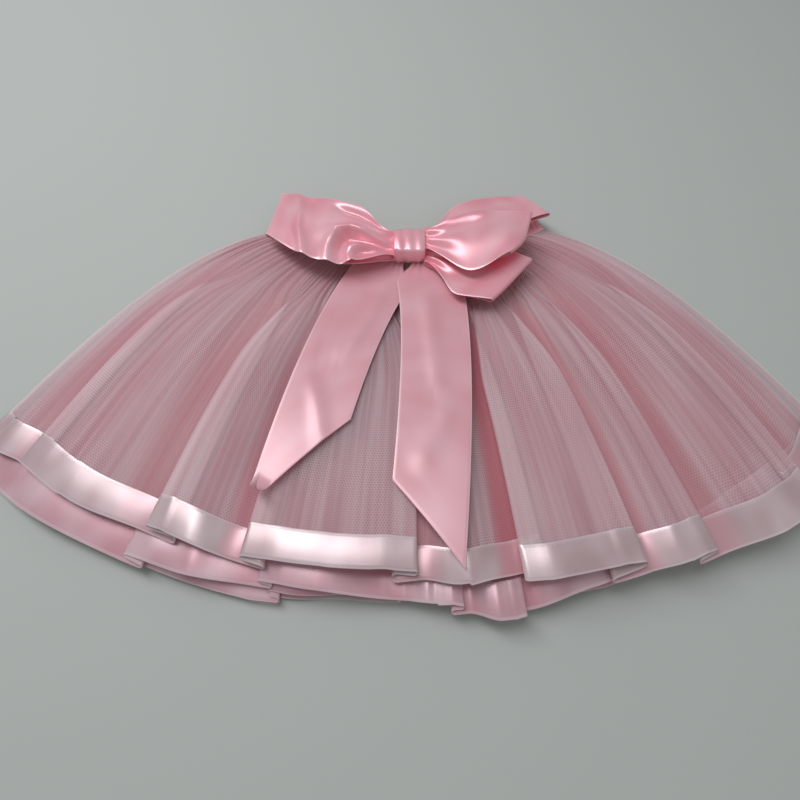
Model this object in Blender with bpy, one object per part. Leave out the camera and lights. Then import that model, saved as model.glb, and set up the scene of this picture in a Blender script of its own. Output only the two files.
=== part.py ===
"""A child's tulle skirt with satin ribbon hems and a satin bow, laid flat with its front up.

An outer and an inner layer of tulle, each with a front and a back panel, are gathered on to a
covered elastic waistband, and every panel ends in a satin ribbon. A bow of four loops, a knot and
two tails is sewn to the front of the band. Z is up, the waistband lies towards +Y and the hem
towards -Y. The panels are laid on each other, so each keeps to its own share of the height.
"""

import math
from collections import namedtuple

import bmesh
import bpy
from mathutils import Vector

# Driving sizes, in metres and radians
WAIST_WIDTH = 0.216
WAIST_RISE = 0.029  # how much further up the ends of the waistline lie than its middle
BAND_HEIGHT = 0.022
BAND_WALL = 0.003
BAND_PARTING = 0.0007  # between the waistband's two halves
BAND_GAP = 0.001  # between the waistband and the gathered edges of the panels
LINE_LENGTH = 0.250  # the fan's lines, from the waistline to the middle of the four hems
SIDE_ANGLE = math.radians(47.5)  # where a side edge ends, away from straight down
SIDE_START = math.radians(84)  # the way a side edge leaves the waistband
SIDE_BEND = 0.31  # where on its length a side edge turns from the one to the other
CLOTH_WALL = 0.0012
SEAM_GAP = 0.0004
CLEARANCE = 0.0003  # kept above and below each panel
FLOOR_PRESS = 0.0010  # how far the lowest panel's folds are pressed flat on the table
FLAT_BELOW = 0.00001  # what lies no higher than this is on the table
HEM_WIDTH = 0.021
RIBBON_WIDTH = 0.048
KNOT_SIZE = Vector((0.027, 0.027, 0.018))
KNOT_PLACE = Vector((0, 0.001))  # the middle of the knot, from the middle of the waistline
KNOT_BASE = 0.0146

# How the folds grow from the waist, as shares of a panel's length
GATHERS_END = 0.34
FOLDS_START, FOLDS_FULL = 0.04, 0.75
GATHERS_PER_FOLD = 3
CURL_LIMIT = 800  # how far a fold may curl, for the square of its height over its width

# A row for each fold of a panel, from the -X side: the width of hem that it covers, its height
# as a share of the panel's, how far its crest leans towards +X, and how much lower its hem hangs.
Fold = namedtuple("Fold", "width height lean drop")

OUTER_FRONT_FOLDS = [
    Fold(0.0425, 0.72, -0.004, 0.009),
    Fold(0.0980, 0.95, -0.010, 0.002),
    Fold(0.0550, 1.00, -0.008, -0.004),
    Fold(0.1120, 0.94, -0.012, -0.003),
    Fold(0.0560, 1.00, -0.008, 0.002),
    Fold(0.0780, 1.00, -0.011, 0.010),
    Fold(0.0430, 0.88, -0.006, 0.016),
    Fold(0.0760, 0.96, -0.010, 0.021),
    Fold(0.0475, 0.75, -0.004, 0.006),
]
INNER_FRONT_FOLDS = [
    Fold(0.058, 0.80, 0.003, 0.016),
    Fold(0.084, 1.00, 0.005, 0.009),
    Fold(0.094, 0.90, 0.006, 0.006),
    Fold(0.078, 1.00, 0.006, -0.002),
    Fold(0.066, 0.95, 0.005, 0.005),
    Fold(0.088, 0.90, 0.005, 0.002),
    Fold(0.072, 0.80, 0.003, -0.004),
]
INNER_BACK_FOLDS = [
    Fold(0.086, 0.80, -0.002, 0.010),
    Fold(0.108, 1.00, -0.003, 0.017),
    Fold(0.074, 0.90, -0.003, -0.003),
    Fold(0.090, 1.00, -0.003, -0.004),
    Fold(0.098, 0.90, -0.003, 0.012),
    Fold(0.076, 0.80, -0.002, 0.000),
]
OUTER_BACK_FOLDS = [
    Fold(0.052, 0.80, 0.001, 0.003),
    Fold(0.078, 1.00, 0.002, 0.009),
    Fold(0.088, 0.90, 0.002, 0.010),
    Fold(0.070, 1.00, 0.002, 0.000),
    Fold(0.082, 0.95, 0.002, -0.002),
    Fold(0.074, 1.00, 0.002, 0.006),
    Fold(0.086, 0.90, 0.002, 0.001),
    Fold(0.058, 0.80, 0.001, -0.002),
]

# A row for each panel, from the lowest up: its length, the share of the fan that it covers, its
# folds, whether their broad sides face up, how far the folds overhang and broaden, the height
# that it takes at the waist and in full, and where along half a fold and its length it has points.
Panel = namedtuple("Panel", "name length reach folds up overhang broaden gathered full steps rows")

BACK_STEPS = (0, 42, 84, 128)
COARSE_STEPS = (0, 42, 66, 96, 136)
FINE_STEPS = (0, 36, 66, 92, 122, 150)
PANELS = [
    Panel("outer_tulle_back", 0.251, 1.00, OUTER_BACK_FOLDS, False, 0.30, 0.50, 0.0026, 0.0062,
          BACK_STEPS, (0.0, 0.08, 0.24, 0.54)),
    Panel("inner_tulle_back", 0.250, 0.95, INNER_BACK_FOLDS, False, 0.30, 0.50, 0.0026, 0.0058,
          BACK_STEPS, (0.0, 0.10, 0.28, 0.58)),
    Panel("inner_tulle_front", 0.252, 0.95, INNER_FRONT_FOLDS, True, 0.46, 0.60, 0.0026, 0.0085,
          COARSE_STEPS, (0.0, 0.07, 0.19, 0.38, 0.64)),
    Panel("outer_tulle_front", 0.245, 1.00, OUTER_FRONT_FOLDS, True, 0.72, 0.95, 0.0026, 0.0138,
          FINE_STEPS, (0.0, 0.05, 0.13, 0.26, 0.44, 0.66)),
]

# A row for each loop of the bow: the way it points from +X, its length past the knot, where it
# leaves the knot, the ribbon's width at the knot, half way and at its end as shares, the height
# of its middle at the same places, half its opening there, how much further its +Y edge reaches
# than its middle, how far its middle bends towards +Y, and how far its +Y edge is raised.
Loop = namedtuple("Loop", "name angle length root widths heights openings slant bend roll")

LOOPS = [
    Loop("bow_loop_left", 160, 0.096, (-0.0142, 0.000), (0.40, 1.00, 0.88),
         (0.0235, 0.0260, 0.0200), (0.0030, 0.0062, 0.0022), 0.0033, -0.004, -0.002),
    Loop("bow_loop_right_back", 22, 0.092, (0.0142, 0.0072), (0.22, 0.74, 0.48),
         (0.0180, 0.0180, 0.0180), (0.0016, 0.0028, 0.0020), -0.0060, 0.004, 0.000),
    Loop("bow_loop_right_low", -24.5, 0.066, (0.0142, -0.0068), (0.22, 1.00, 0.94),
         (0.0195, 0.0260, 0.0290), (0.0016, 0.0028, 0.0020), 0.0063, 0.000, -0.001),
    Loop("bow_loop_right_front", -3, 0.071, (0.0142, 0.0040), (0.36, 0.96, 0.84),
         (0.0272, 0.0350, 0.0368), (0.0024, 0.0050, 0.0022), 0.0049, -0.002, -0.003),
]

Cloth = namedtuple("Cloth", "name colour roughness")

TULLE = Cloth("pink tulle", (0.80, 0.50, 0.54), 0.90)
HEM_SATIN = Cloth("hem satin", (0.86, 0.62, 0.64), 0.35)
BOW_SATIN = Cloth("bow satin", (0.90, 0.45, 0.52), 0.30)

# A row for each tail: where it leaves the knot, where it turns, the middle of its cut end, all
# from the knot's middle, how much further its -X edge reaches than the middle, and how much
# higher than the other tail it lies at the knot.
Tail = namedtuple("Tail", "name root turn end cut above")

TAILS = [
    Tail("bow_tail_left", (-0.009, -0.004), (-0.040, -0.038), (-0.0705, -0.169), 0.037, 0.0),
    Tail("bow_tail_right", (0.009, -0.004), (0.026, -0.048), (0.010, -0.2075), -0.0245, 0.0016),
]


def ease(low, high, value):
    """0 below low, 1 above high, and a smooth curve between them."""
    share = min(max((value - low) / (high - low), 0.0), 1.0)
    return share * share * (3 - 2 * share)


def between(values, share):
    """A smooth curve through three heights, at the start, half way and at the end."""
    start, middle, end = values
    return start * (1 - share) * (1 - 2 * share) + middle * 4 * share * (1 - share) \
        + end * share * (2 * share - 1)


def clear_scene():
    for old in list(bpy.data.objects):
        bpy.data.objects.remove(old)


def cloth_material(node, cloth):
    material = bpy.data.materials.new(f"{node} {cloth.name}")
    material.use_nodes = True
    shader = material.node_tree.nodes["Principled BSDF"]
    shader.inputs["Base Color"].default_value = (*cloth.colour, 1)
    shader.inputs["Roughness"].default_value = cloth.roughness
    shader.inputs["Metallic"].default_value = 0
    return material


def fan_point(across, run):
    """The place on the table of the point this far across the fan and this far below the waist.

    A line of the fan is a quadratic curve, which leaves the waistband more sideways than it ends.
    """
    start = Vector((across * WAIST_WIDTH / 2, WAIST_RISE * across * across))
    first, last = across * SIDE_START, across * SIDE_ANGLE
    turn = start + SIDE_BEND * LINE_LENGTH * Vector((math.sin(first), -math.cos(first)))
    end = start + LINE_LENGTH * Vector((math.sin(last), -math.cos(last)))
    pace = 2 * SIDE_BEND
    root = math.sqrt(pace * pace + 4 * (1 - pace) * max(run, 0) / LINE_LENGTH)
    share = (root - pace) / (2 * (1 - pace))
    return start * (1 - share) ** 2 + turn * 2 * share * (1 - share) + end * share ** 2


def fan_place(point):
    """The way back from a place on the table to how far across the fan and below the waist it is."""
    across, run, step = point.x / 0.25, 0.1, 1e-4
    for _ in range(12):
        here = fan_point(across, run)
        by_across = (fan_point(across + step, run) - here) / step
        by_run = (fan_point(across, run + step) - here) / step
        miss = point - here
        size = by_across.x * by_run.y - by_across.y * by_run.x
        across += (miss.x * by_run.y - miss.y * by_run.x) / size
        run = max(run + (by_across.x * miss.y - by_across.y * miss.x) / size, 0.0)
    return across, run


def thickness(panel, across, run):
    """The height that a panel takes there. It is least at the waist and along the sides."""
    least = CLOTH_WALL + 2 * CLEARANCE
    swell = 1 - (1 - min(run / LINE_LENGTH, 1)) ** 2
    lens = max(1 - abs(across) ** 3.2, 0.0) ** 0.7
    height = least + (panel.gathered - least) * min(lens * 2, 1)
    height += (panel.full - panel.gathered) * swell * lens
    if panel.reach < 1:
        height *= 1 - ease(panel.reach, panel.reach + 0.03, abs(across))
    return height


def room_for_folds(panel, across, run):
    """How much of the height that a panel takes is left for its folds."""
    return max(thickness(panel, across, run) - CLOTH_WALL - 2 * CLEARANCE, 0.0)


def top_of(index, across, run):
    """The height of the top of this many of the lowest panels."""
    return sum(thickness(panel, across, run) for panel in PANELS[:index])


def fold_point(panel, index, along, share):
    """A point of a panel's cloth: along counts its folds from the -X side, share is down it."""
    folds = panel.folds
    number = min(max(int(along), 0), len(folds) - 1)
    fold = folds[number]
    turn = 2 * math.pi * (along - number) - math.pi
    crest = (1 + math.cos(turn)) / 2
    total = sum(row.width for row in folds)
    middle = sum(row.width for row in folds[:number]) + fold.width / 2
    grown = ease(FOLDS_START, FOLDS_FULL, share)

    beside = folds[min(max(number + (1 if turn > 0 else -1), 0), len(folds) - 1)]
    valley = (fold.drop + beside.drop) / 2
    run = share * (panel.length + valley + (fold.drop - valley) * crest)
    flat = panel.reach * (2 * (middle + fold.width * turn / (2 * math.pi)) / total - 1)
    free = room_for_folds(panel, flat, run)
    merged = ease(0, GATHERS_END, share)
    curl = min(grown, CURL_LIMIT * (free * fold.height * merged) ** 2 / fold.width)
    bulge = panel.overhang * math.sin(2 * turn) + panel.broaden * math.sin(turn)
    aside = fold.width * curl * bulge / (2 * math.pi) + fold.lean * crest * curl
    across = flat + panel.reach * 2 * aside / total

    small = (1 + math.cos(GATHERS_PER_FOLD * turn)) / 2
    lift = (1 - merged) * small + merged * crest * fold.height
    if not panel.up:
        lift = 1 - lift
    free = min(free, room_for_folds(panel, across, run))
    height = top_of(index, across, run) + CLOTH_WALL / 2 + CLEARANCE + free * lift
    if index == 0:
        height = max(height - CLEARANCE - FLOOR_PRESS, CLOTH_WALL / 2)
    return Vector((*fan_point(across, run), height))


def facing(place, column, row):
    """The way that the cloth faces at a point, from its neighbours a short step away."""
    step = 1e-3
    sideways = place(column + step, row) - place(column - step, row)
    down = place(column, row + step) - place(column, row - step)
    return down.cross(sideways).normalized()


def columns_of(panel):
    """The places along a panel's folds where it has a column of points, closest at the creases."""
    half = [step / 360 for step in panel.steps]
    fold = [0.5 - step for step in reversed(half)] + [0.5 + step for step in half[1:]]
    fold = [0.0] + [place for place in fold if 0 < place < 1]
    places = [number + place for number in range(len(panel.folds)) for place in fold]
    return places + [float(len(panel.folds))]


def new_piece(name, bm, cloth):
    bmesh.ops.recalc_face_normals(bm, faces=bm.faces)
    mesh = bpy.data.meshes.new(name)
    bm.to_mesh(mesh)
    bm.free()
    mesh.materials.append(cloth_material(name, cloth))
    piece = bpy.data.objects.new(name, mesh)
    bpy.context.scene.collection.objects.link(piece)
    return piece


def cloth_side(bm, place, columns, rows, shift):
    """One side of a piece of cloth, moved out of its middle by shift. Returns its edge loop."""
    across, down = len(columns) - 1, len(rows) - 1
    side = bmesh.ops.create_grid(bm, x_segments=across, y_segments=down, size=0.5)
    for vertex in side["verts"]:
        column = columns[round((vertex.co.x + 0.5) * across)]
        row = rows[round((vertex.co.y + 0.5) * down)]
        vertex.co = place(column, row) + facing(place, column, row) * shift
        if vertex.co.z < FLAT_BELOW:
            vertex.co.z = 0
    edges = {edge for vertex in side["verts"] for edge in vertex.link_edges}
    return [edge for edge in edges if len(edge.link_faces) == 1]


def walled_sheet(name, place, columns, rows, cloth):
    """A piece of cloth with a point for each column and row, put there by place, with its wall."""
    bm = bmesh.new()
    rim = cloth_side(bm, place, columns, rows, CLOTH_WALL / 2)
    rim += cloth_side(bm, place, columns, rows, -CLOTH_WALL / 2)
    bmesh.ops.bridge_loops(bm, edges=rim)
    new_piece(name, bm, cloth)


def build_panel(index, panel):
    """A panel of tulle and the ribbon along its hem, which ends it with a seam's gap between."""
    columns = columns_of(panel)
    seam = 1 - HEM_WIDTH / panel.length
    gap = SEAM_GAP / panel.length

    def place(along, share):
        return fold_point(panel, index, along, share)

    side, half = panel.name.split("_")[0], panel.name.split("_")[2]
    walled_sheet(panel.name, place, columns, (*panel.rows, seam - gap), TULLE)
    walled_sheet(f"{side}_hem_{half}", place, columns, (seam, 1.0), HEM_SATIN)


def sheet(name, place, columns, rows, cloth, wall=CLOTH_WALL):
    """The same for cloth that has a place for the columns and rows themselves only."""
    bm = bmesh.new()
    across, down = len(columns) - 1, len(rows) - 1
    grid = bmesh.ops.create_grid(bm, x_segments=across, y_segments=down, size=0.5)
    for vertex in grid["verts"]:
        column = columns[round((vertex.co.x + 0.5) * across)]
        row = rows[round((vertex.co.y + 0.5) * down)]
        vertex.co = place(column, row)
    piece = new_piece(name, bm, cloth)
    solidify = piece.modifiers.new("Cloth wall", "SOLIDIFY")
    solidify.thickness = wall
    solidify.offset = 0
    solidify.use_even_offset = True
    solidify.thickness_clamp = 1.6


def build_band():
    """The front and the back of the waistband, pressed flat on each other."""
    columns = [step / 12 - 1 for step in range(25)]
    rows = (BAND_GAP, BAND_HEIGHT / 2, BAND_HEIGHT)

    def half(low):
        def place(across, up):
            crown = 1 - (2 * up / BAND_HEIGHT - 1) ** 2
            slope = 4 * WAIST_RISE * across / WAIST_WIDTH
            line = Vector((across * WAIST_WIDTH / 2, WAIST_RISE * across * across))
            line += Vector((-slope, 1)).normalized() * up
            return Vector((*line, low + BAND_WALL / 2 + 0.0004 * crown))
        return place

    sheet("waistband_back", half(0.0), columns, rows, BOW_SATIN, BAND_WALL)
    sheet("waistband_front", half(BAND_WALL + BAND_PARTING), columns, rows, BOW_SATIN, BAND_WALL)


def knot_middle():
    return Vector((*KNOT_PLACE, KNOT_BASE + KNOT_SIZE.z / 2))


def build_knot():
    """The short ribbon wrapped round the bow's middle: soft corners, and pleats that run round it."""
    sides, rings = 16, 7
    bm = bmesh.new()
    loops = []
    for ring in range(rings):
        across = 2 * ring / (rings - 1) - 1
        size = 0.90 + 0.10 * (1 - across * across) + 0.03 * math.cos(3 * math.pi * across)
        loop = []
        for side in range(sides):
            angle = 2 * math.pi * side / sides
            corner = max(abs(math.cos(angle)), abs(math.sin(angle))) ** -0.55
            spot = Vector((across * KNOT_SIZE.x / 2,
                           math.cos(angle) * corner * size * KNOT_SIZE.y / 2.06,
                           math.sin(angle) * corner * size * KNOT_SIZE.z / 2.06))
            loop.append(bm.verts.new(knot_middle() + spot))
        edges = [bm.edges.new((loop[side], loop[(side + 1) % sides])) for side in range(sides)]
        loops.append(edges)
    for first, second in zip(loops, loops[1:]):
        bmesh.ops.bridge_loops(bm, edges=first + second)
    bmesh.ops.holes_fill(bm, edges=bm.edges, sides=sides)
    new_piece("bow_knot", bm, BOW_SATIN)


def loop_path(loop, steps=6, turn_steps=4):
    """Places along a loop's ribbon: how far out, as a share, and which half, from -1 to 1."""
    fullest = 1 - loop.openings[2] / loop.length
    out = [(fullest * step / steps, -1.0) for step in range(steps)]
    end = []
    for step in range(turn_steps + 1):
        angle = math.pi * (step / turn_steps - 0.5)
        end.append((fullest + (1 - fullest) * math.cos(angle), math.sin(angle)))
    return out + end + [(share, 1.0) for share, _ in reversed(out)]


def build_loop(loop):
    """One loop: the ribbon runs out from the knot, turns over and comes back above itself."""
    path = loop_path(loop)
    angle = math.radians(loop.angle)
    away = Vector((math.cos(angle), math.sin(angle)))
    beside = Vector((-away.y, away.x)) * (1 if away.x > 0 else -1)

    def place(spot, q):
        share, half = path[spot]
        first, fullest, last = loop.widths
        out = share * (loop.length + loop.slant * q)
        spread = ease(0, 0.42, share)
        wide = first + (fullest - first) * spread + (last - fullest) * ease(0.5, 1, share)
        side = Vector((0, 1)).lerp(beside, spread)
        flat = KNOT_PLACE + Vector(loop.root) + away * out + side * q * wide * RIBBON_WIDTH / 2
        flat += beside * loop.bend * 4 * share * (1 - share)
        height = between(loop.heights, share) + half * between(loop.openings, share)
        height += 0.0010 * math.cos(3 * math.pi * q) * (1 - spread) * first / 0.4
        height += loop.roll * q * ease(0, 1, share)
        return Vector((*flat, height))

    sheet(loop.name, place, range(len(path)), (-1, -0.6, -0.2, 0.2, 0.6, 1), BOW_SATIN)


def build_tail(tail):
    """A tail: a ribbon that leaves the knot pinched, spreads, and lies along the front panel."""
    root, turn, end = Vector(tail.root), Vector(tail.turn), Vector(tail.end)
    pace = 2 * (end - turn).length

    def place(q, share):
        along = share * (1 - q * tail.cut / pace * share)
        line = root * (1 - along) ** 2 + turn * 2 * along * (1 - along) + end * along ** 2
        way = ((turn - root) * (1 - along) + (end - turn) * along).normalized()
        spread = ease(0, 0.20, along)
        width = RIBBON_WIDTH / 2 * (0.30 + 0.70 * spread)
        flat = line + Vector((-way.y, way.x)) * q * width + KNOT_PLACE
        across, run = fan_place(flat)
        lying = top_of(len(PANELS), across, run) + CLOTH_WALL / 2 + SEAM_GAP
        return Vector((*flat, lying + tail.above * (1 - ease(0.30, 0.55, along))))

    rows = [0, 0.06, 0.12, 0.19, 0.27, 0.36, 0.46, 0.57, 0.68, 0.79, 0.90, 1.0]
    sheet(tail.name, place, (-1, -0.5, 0, 0.5, 1), rows, BOW_SATIN)


def centre_on_table():
    """Moves everything so that the middle of its outline is at the origin."""
    graph = bpy.context.evaluated_depsgraph_get()
    corners = []
    for piece in bpy.context.scene.objects:
        shape = piece.evaluated_get(graph)
        corners += [shape.matrix_world @ Vector(corner) for corner in shape.bound_box]
    for axis in (0, 1):
        spots = [corner[axis] for corner in corners]
        middle = (min(spots) + max(spots)) / 2
        for piece in bpy.context.scene.objects:
            piece.location[axis] -= middle
    bpy.context.view_layer.update()


def main():
    clear_scene()
    for index, panel in enumerate(PANELS):
        build_panel(index, panel)
    build_band()
    build_knot()
    for loop in LOOPS:
        build_loop(loop)
    for tail in TAILS:
        build_tail(tail)
    centre_on_table()


main()
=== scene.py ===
# %% [markdown]
# # A child's tulle skirt
# This lesson dresses a skirt whose pieces are already cut to size: four panels of net, the satin
# ribbons along their hems, a waistband and a bow. The plain solids give each piece its place. Here
# each one gets its thin cloth, its folds and its finish. All sizes are in metres.

# %% Load the frame
import math
from collections import namedtuple

import bmesh
import bpy
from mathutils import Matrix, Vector, noise


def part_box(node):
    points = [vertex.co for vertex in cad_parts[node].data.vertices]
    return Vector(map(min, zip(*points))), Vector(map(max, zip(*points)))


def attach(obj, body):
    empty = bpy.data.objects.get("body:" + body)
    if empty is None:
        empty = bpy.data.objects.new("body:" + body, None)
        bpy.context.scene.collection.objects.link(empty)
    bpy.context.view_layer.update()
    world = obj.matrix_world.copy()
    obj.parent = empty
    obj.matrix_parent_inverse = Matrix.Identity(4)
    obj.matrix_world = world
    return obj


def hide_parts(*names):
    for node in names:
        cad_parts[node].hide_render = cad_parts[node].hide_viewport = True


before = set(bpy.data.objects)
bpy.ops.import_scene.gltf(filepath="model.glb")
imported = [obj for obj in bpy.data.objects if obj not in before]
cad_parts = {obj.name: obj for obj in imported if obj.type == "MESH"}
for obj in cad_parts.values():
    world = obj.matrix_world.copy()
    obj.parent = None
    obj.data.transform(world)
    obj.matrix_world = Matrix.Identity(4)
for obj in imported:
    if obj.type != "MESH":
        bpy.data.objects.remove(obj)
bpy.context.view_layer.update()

band_low, band_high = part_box("waistband_back")
BAND_GAP = 0.001  # between the waistline, where the net is gathered, and the band
WAIST_MIDDLE = Vector(((band_low[0] + band_high[0]) / 2, band_low[1] - BAND_GAP))
print("The middle of the waistline is at", tuple(round(v, 4) for v in WAIST_MIDDLE))

# %% [markdown]
# ## The camera, the table and the light
# The skirt was pictured lying flat, from a little below its hem and from high up. A wide lens close
# by makes the near hem larger than the waist. The same view could be had from further away with a
# longer lens, but then the fan of the skirt would lose its spread. So the camera stands close.

# %% Camera
LENS = 0.027
SENSOR = 0.036
VIEW_HEIGHT = math.radians(68)  # the angle above the table
VIEW_DISTANCE = 0.427
VIEW_TARGET = Vector((-0.006, -0.015, 0.0))
MILLIMETRES = 1000

scene = bpy.context.scene
camera_data = bpy.data.cameras.new("camera")
camera_data.lens = LENS * MILLIMETRES
camera_data.sensor_width = SENSOR * MILLIMETRES
camera_data.clip_start = 0.01
camera = bpy.data.objects.new("camera", camera_data)
scene.collection.objects.link(camera)
view_way = Vector((0, -math.cos(VIEW_HEIGHT), math.sin(VIEW_HEIGHT)))
camera.location = VIEW_TARGET + view_way * VIEW_DISTANCE
camera.rotation_euler = view_way.to_track_quat("Z", "Y").to_euler()
scene.camera = camera
print("The camera is", round(camera.location.z, 3), "m above the table")


# %% [markdown]
# Materials are small networks of nodes. One helper adds a node, sets it and joins it, so that each
# recipe below reads as a list of what goes into it.

# %% Helpers for materials
def add_node(tree, kind, inputs=None, **settings):
    """A new shader node. A socket given as an input is joined, anything else is set."""
    made = tree.nodes.new("ShaderNode" + kind)
    for name, value in settings.items():
        setattr(made, name, value)
    for key, value in (inputs or {}).items():
        if isinstance(value, bpy.types.NodeSocket):
            tree.links.new(value, made.inputs[key])
        else:
            made.inputs[key].default_value = value
    return made


def maths(tree, operation, first, second=0.0, third=0.0):
    return add_node(tree, "Math", {0: first, 1: second, 2: third}, operation=operation).outputs[0]


def remap(tree, value, low, high, to_low=0.0, to_high=1.0):
    """The value moved from one range to another with a soft start and end."""
    names = ("Value", "From Min", "From Max", "To Min", "To Max")
    inputs = dict(zip(names, (value, low, high, to_low, to_high)))
    return add_node(tree, "MapRange", inputs, interpolation_type="SMOOTHSTEP").outputs[0]


def blend_colours(tree, share, first, second):
    mix = add_node(tree, "Mix", {"Factor": share}, data_type="RGBA")
    for socket, colour in ((mix.inputs[6], first), (mix.inputs[7], second)):
        if isinstance(colour, bpy.types.NodeSocket):
            tree.links.new(colour, socket)
        else:
            socket.default_value = colour
    return mix.outputs[2]


def dye(red, green, blue):
    """A colour as a dyer's card gives it, 0 to 255, turned into the light that it sends back."""
    def linear(value):
        value /= 255
        return value / 12.92 if value < 0.04045 else ((value + 0.055) / 1.055) ** 2.4
    return (linear(red), linear(green), linear(blue), 1.0)


def new_material(name):
    """A material, its tree and its Principled shader."""
    material = bpy.data.materials.new(name)
    material.use_nodes = True
    return material, material.node_tree, material.node_tree.nodes["Principled BSDF"]


def new_object(name, bm, material):
    """An object with this mesh and material, in the scene."""
    mesh = bpy.data.meshes.new(name)
    bm.to_mesh(mesh)
    bm.free()
    mesh.materials.append(material)
    made = bpy.data.objects.new(name, mesh)
    scene.collection.objects.link(made)
    return made


# %% Table
TABLE_SIZE = 4.0
table_material, _, table_shader = new_material("pale matt table")
table_shader.inputs["Base Color"].default_value = dye(192, 197, 193)
table_shader.inputs["Roughness"].default_value = 0.85
table_bm = bmesh.new()
bmesh.ops.create_grid(table_bm, x_segments=1, y_segments=1, size=TABLE_SIZE / 2)
table = new_object("table", table_bm, table_material)


# %% Lights
def soft_light(name, place, size, power, colour):
    """A lamp of this width and length that faces the middle of the skirt."""
    data = bpy.data.lights.new(name, "AREA")
    data.shape = "RECTANGLE"
    data.size, data.size_y = size
    data.energy, data.color = power, colour
    lamp = bpy.data.objects.new(name, data)
    lamp.location = place
    lamp.rotation_euler = Vector(place).to_track_quat("Z", "Y").to_euler()
    scene.collection.objects.link(lamp)


soft_light("window", (-0.42, 0.32, 1.05), (0.36, 1.1), 7.8, (0.98, 0.98, 1.0))
soft_light("fill", (0.9, -0.7, 0.9), (1.2, 1.2), 0.9, (1.0, 0.97, 0.94))
world = bpy.data.worlds.new("room")
world.use_nodes = True
room_light = world.node_tree.nodes["Background"].inputs
room_light["Color"].default_value = (0.92, 0.94, 0.95, 1.0)
room_light["Strength"].default_value = 0.30
scene.world = world
scene.view_settings.view_transform = "Standard"
NET_LAYERS_SEEN = 48  # light passes this many layers of net before it counts as stopped
scene.cycles.transparent_max_bounces = NET_LAYERS_SEEN
print("One window, one fill and a pale room light the table")


# %% [markdown]
# ## How the skirt lies
# Each panel is a strip of net, gathered on to the short waistline and free at its long hem, so it
# spreads like a fan. Two numbers say where a point of it lies: how far across the fan, from -1 to
# 1, and how far it runs down from the waist. The panels lie on each other, and each keeps to its
# own share of the height. A cloth simulation could drop the net, but its folds would land anywhere,
# and here they have known places. So the fan and the folds are worked out.

# %% Fan of the skirt
WAIST_WIDTH = 0.216
WAIST_RISE = 0.029  # how far the waistline's ends are in +Y of its middle
LINE_LENGTH = 0.250  # how far a line of the fan reaches from the waist, measured straight
SIDE_ANGLE = math.radians(47.5)  # which way the fan's sides reach, from -Y
SIDE_START = math.radians(84)  # which way they leave the waist, from -Y
SIDE_BEND = 0.31  # how far off the point that bends a line is, as a share of LINE_LENGTH
CLOTH_WALL = 0.0012  # of the solids
CLEARANCE = 0.0003  # above and below each of the solids
FLOOR_PRESS = 0.0010  # how far the lowest panel's folds are pressed down to the table
NET_CLEARANCE = 0.0002  # the net is thinner than its solid, so its folds have more room
HEM_WIDTH = 0.021
BAND_HEIGHT = 0.022
RIBBON_WIDTH = 0.048
SEARCH_HALF, SEARCH_RUN = 0.25, 0.1  # the half width and the run with which a search starts
SEARCH_STEP, SEARCH_ROUNDS = 1e-4, 8


def ease(low, high, value):
    """0 below low, 1 above high, and a smooth curve between them."""
    share = min(max((value - low) / (high - low), 0.0), 1.0)
    return share * share * (3 - 2 * share)


def between(values, share):
    """A smooth curve through three values, at the start, half way and at the end."""
    start, middle, end = values
    return start * (1 - share) * (1 - 2 * share) + middle * 4 * share * (1 - share) \
        + end * share * (2 * share - 1)


def fan_point(across, run):
    """The place on the table, from the waistline's middle, of a point of the fan."""
    start = Vector((across * WAIST_WIDTH / 2, WAIST_RISE * across * across))
    first, last = across * SIDE_START, across * SIDE_ANGLE
    turn = start + SIDE_BEND * LINE_LENGTH * Vector((math.sin(first), -math.cos(first)))
    end = start + LINE_LENGTH * Vector((math.sin(last), -math.cos(last)))
    pace = 2 * SIDE_BEND
    root = math.sqrt(pace * pace + 4 * (1 - pace) * max(run, 0) / LINE_LENGTH)
    share = (root - pace) / (2 * (1 - pace))
    return start * (1 - share) ** 2 + turn * 2 * share * (1 - share) + end * share ** 2


def fan_place(point):
    """The way back: how far across the fan and down it a place on the table is."""
    across, run, step = point.x / SEARCH_HALF, SEARCH_RUN, SEARCH_STEP
    for _ in range(SEARCH_ROUNDS):
        here = fan_point(across, run)
        by_across = (fan_point(across + step, run) - here) / step
        by_run = (fan_point(across, run + step) - here) / step
        miss = point - here
        size = by_across.x * by_run.y - by_across.y * by_run.x
        across += (miss.x * by_run.y - miss.y * by_run.x) / size
        run = max(run + (by_across.x * miss.y - by_across.y * miss.x) / size, 0.0)
    return across, run


# %% Panels and their folds
Fold = namedtuple("Fold", "width height tuck drop end deep")
# width of hem that it covers, height as a share of the panel's, how far it lies over the next fold
# (or the next one over it, if less than nought), how much lower its hem hangs at its -X and +X
# side, and how strong the painted shade, a deeper pink, is in the valley on its +X side, from 0 to
# 1

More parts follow.
